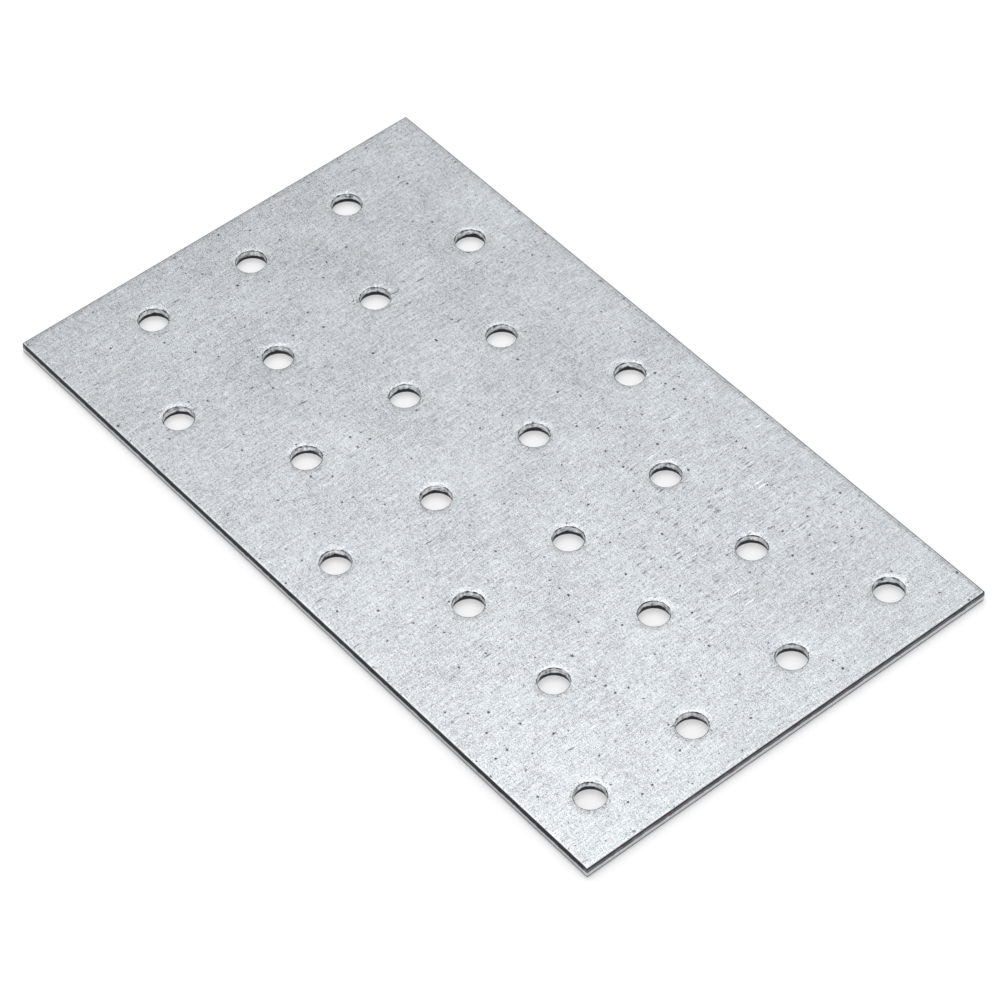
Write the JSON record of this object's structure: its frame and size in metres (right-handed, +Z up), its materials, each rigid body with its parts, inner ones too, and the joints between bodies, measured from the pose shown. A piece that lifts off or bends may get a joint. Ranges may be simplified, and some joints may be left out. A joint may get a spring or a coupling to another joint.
{
  "type": "mending plate",
  "caption": "Flat rectangular zinc-coated steel plate punched with offset rows of round fixing holes, for joining or repairing timber.",
  "frame": {"origin": "under the middle of the plate's outline, on its underside", "axes": "+X across the width, +Y along the length towards the end with a three-hole row, +Z up through the sheet to the side the punch entered"},
  "size_m": [0.08, 0.14, 0.002],
  "materials": {
    "zinc_steel": "satin blue-grey zinc coating with a fine rolled grain"
  },
  "bodies": {
    "root": {"plate": "zinc_steel"}
  },
  "joints": []
}
